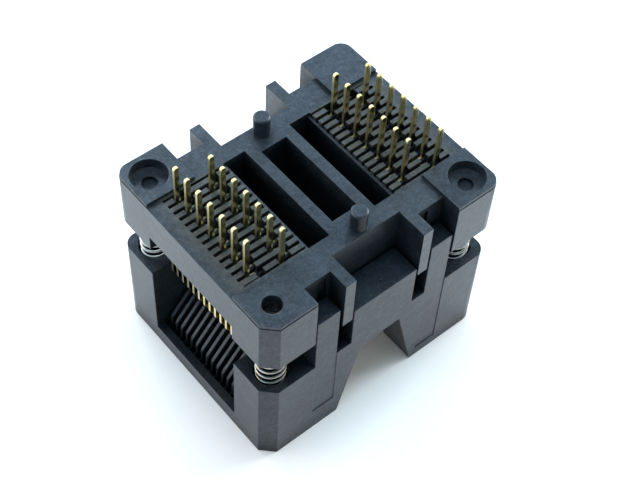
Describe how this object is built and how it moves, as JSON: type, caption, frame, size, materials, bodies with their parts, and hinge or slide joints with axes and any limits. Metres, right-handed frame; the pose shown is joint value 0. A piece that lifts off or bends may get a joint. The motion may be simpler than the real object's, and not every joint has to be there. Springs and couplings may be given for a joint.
{
  "type": "test socket",
  "caption": "Push-cover zero-insertion-force test socket for a fine-pitch small-outline chip, drawn with its solder tails up, with a sprung cover and lever contacts.",
  "frame": {"origin": "centre of the cover's flat face, the bottom of the part as it lies with its solder tails up", "axes": "+Z towards the solder tails and the board, +X along the body from one contact field to the other with the chamfered corner at -X -Y, +Y along the rows of contacts"},
  "size_m": [0.0212, 0.0176, 0.0202],
  "materials": {
    "base_plastic": "fine moulded satin, glass-filled",
    "cover_plastic": "fine moulded satin, glass-filled",
    "contact_gold": "gold flash over copper alloy, stamped",
    "spring_steel": "bright drawn wire"
  },
  "bodies": {
    "base": {"base_housing": "base_plastic", "contact_01": "contact_gold", "contact_02": "contact_gold", "contact_03": "contact_gold", "contact_04": "contact_gold", "contact_05": "contact_gold", "contact_06": "contact_gold", "contact_07": "contact_gold", "contact_08": "contact_gold", "contact_09": "contact_gold", "contact_10": "contact_gold", "contact_11": "contact_gold", "contact_12": "contact_gold", "contact_13": "contact_gold", "contact_14": "contact_gold", "contact_15": "contact_gold", "contact_16": "contact_gold", "contact_17": "contact_gold", "contact_18": "contact_gold", "contact_19": "contact_gold", "contact_20": "contact_gold", "contact_21": "contact_gold", "contact_22": "contact_gold", "contact_23": "contact_gold", "contact_24": "contact_gold", "contact_25": "contact_gold", "contact_26": "contact_gold", "contact_27": "contact_gold", "contact_28": "contact_gold", "spring_front": "spring_steel", "spring_right": "spring_steel", "spring_back": "spring_steel", "spring_left": "spring_steel"},
    "cover": {"push_cover": "cover_plastic"},
    "arms_left": {"contact_arms_left": "contact_gold"},
    "arms_right": {"contact_arms_right": "contact_gold"}
  },
  "joints": [
    {"name": "cover_slide", "type": "slide", "parent": "base", "child": "cover", "axis": [0, 0, 1], "range_m": [0, 0.0027], "stiffness_N_per_m": 3000, "springref_m": -0.0008, "deforming": ["spring_front", "spring_right", "spring_back", "spring_left"]},
    {"name": "arms_left_flex", "type": "hinge", "parent": "base", "child": "arms_left", "pos_m": [-0.00905, 0, 0.01345], "axis": [0, 1, 0], "range_deg": [0, 12]},
    {"name": "arms_right_flex", "type": "hinge", "parent": "base", "child": "arms_right", "pos_m": [0.00905, 0, 0.01345], "axis": [0, -1, 0], "range_deg": [0, 12]}
  ],
  "couplings": [
    {"joint": "arms_left_flex", "follows": "cover_slide", "rad_per_m": 77.5},
    {"joint": "arms_right_flex", "follows": "cover_slide", "rad_per_m": 77.5}
  ]
}
